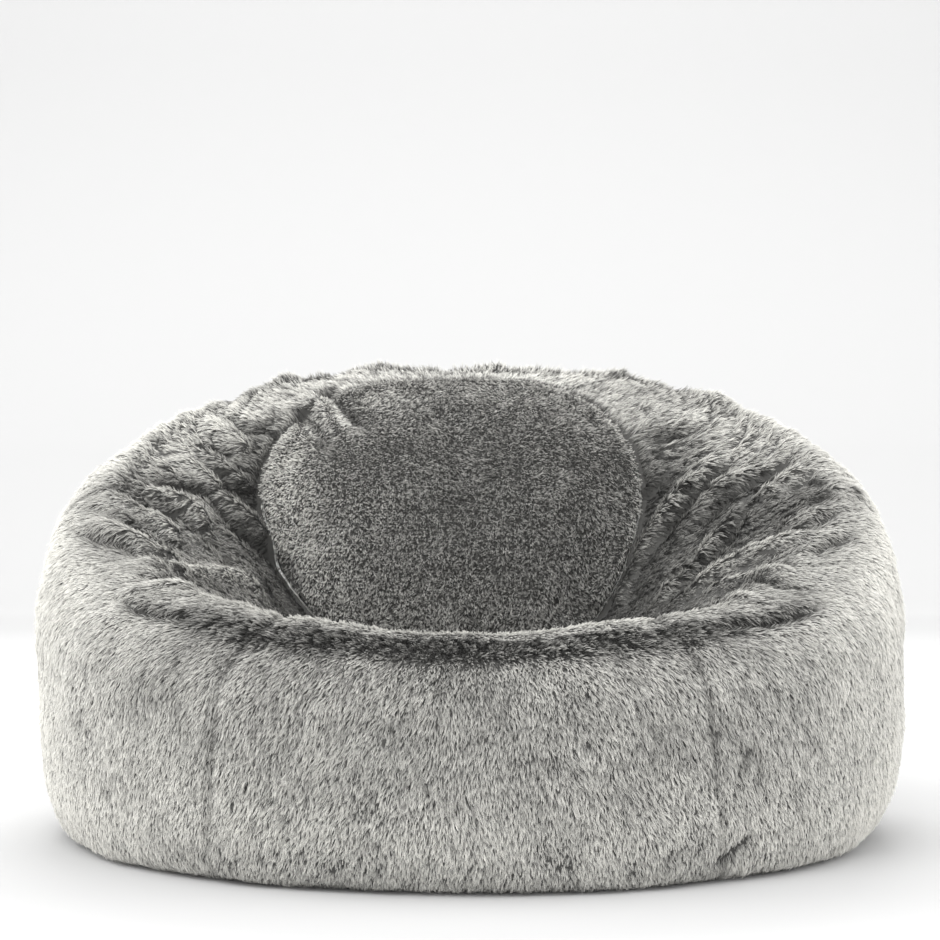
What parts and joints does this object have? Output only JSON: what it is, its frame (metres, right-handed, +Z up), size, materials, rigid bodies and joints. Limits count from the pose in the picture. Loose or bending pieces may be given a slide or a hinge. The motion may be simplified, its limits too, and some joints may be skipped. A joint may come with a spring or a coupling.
{
  "type": "bean bag chair",
  "caption": "Round faux fur bean bag chair with a pushed-in seat hollow, a disc backrest, a zipped cloth base, an inner liner and a loose bead filling.",
  "frame": {"origin": "on the floor under the middle of the bag", "axes": "+X to the sitter's left, which is the viewer's right from the front; -Y is the front, where the seat is open; +Z up"},
  "size_m": [1.111, 1.0575, 0.602],
  "materials": {
    "faux_fur": "matte",
    "faux_fur_disc": "matte",
    "base_cloth": "matte",
    "zip_tape": "matte",
    "zip_coil": "satin",
    "zip_metal": "satin",
    "liner_cloth": "matte",
    "polystyrene_beads": "matte"
  },
  "bodies": {
    "bag": {"front_panel": "faux_fur", "front_right_panel": "faux_fur", "rear_right_panel": "faux_fur", "rear_panel": "faux_fur", "rear_left_panel": "faux_fur", "front_left_panel": "faux_fur", "top_disc_panel": "faux_fur_disc", "base_panel_front": "base_cloth", "base_panel_rear": "base_cloth", "zip_tape_front": "zip_tape", "zip_tape_rear": "zip_tape", "zip_coil_front": "zip_coil", "zip_coil_rear": "zip_coil", "liner_zip_tape_front": "zip_tape", "liner_zip_tape_rear": "zip_tape", "liner_zip_coil_front": "zip_coil", "liner_zip_coil_rear": "zip_coil", "zip_end_stop_left": "zip_metal", "zip_end_stop_right": "zip_metal", "liner_base_front": "liner_cloth", "liner_base_rear": "liner_cloth", "liner_wall_front": "liner_cloth", "liner_wall_rear": "liner_cloth", "liner_top_panel": "liner_cloth", "bead_fill": "polystyrene_beads"},
    "zip_slider": {"zip_slider_body": "zip_metal"},
    "zip_pull": {"zip_pull_tab": "zip_metal"},
    "liner_slider": {"liner_zip_slider": "zip_metal"}
  },
  "joints": [
    {"name": "cover_zip_slide", "type": "slide", "parent": "bag", "child": "zip_slider", "axis": [-1, 0, 0], "range_m": [0, 0.644]},
    {"name": "cover_zip_pull_hinge", "type": "hinge", "parent": "zip_slider", "child": "zip_pull", "pos_m": [0.322, 0, 0.0022], "axis": [0, -1, 0], "range_deg": [0, 180]},
    {"name": "liner_zip_slide", "type": "slide", "parent": "bag", "child": "liner_slider", "axis": [1, 0, 0], "range_m": [0, 0.644]}
  ]
}
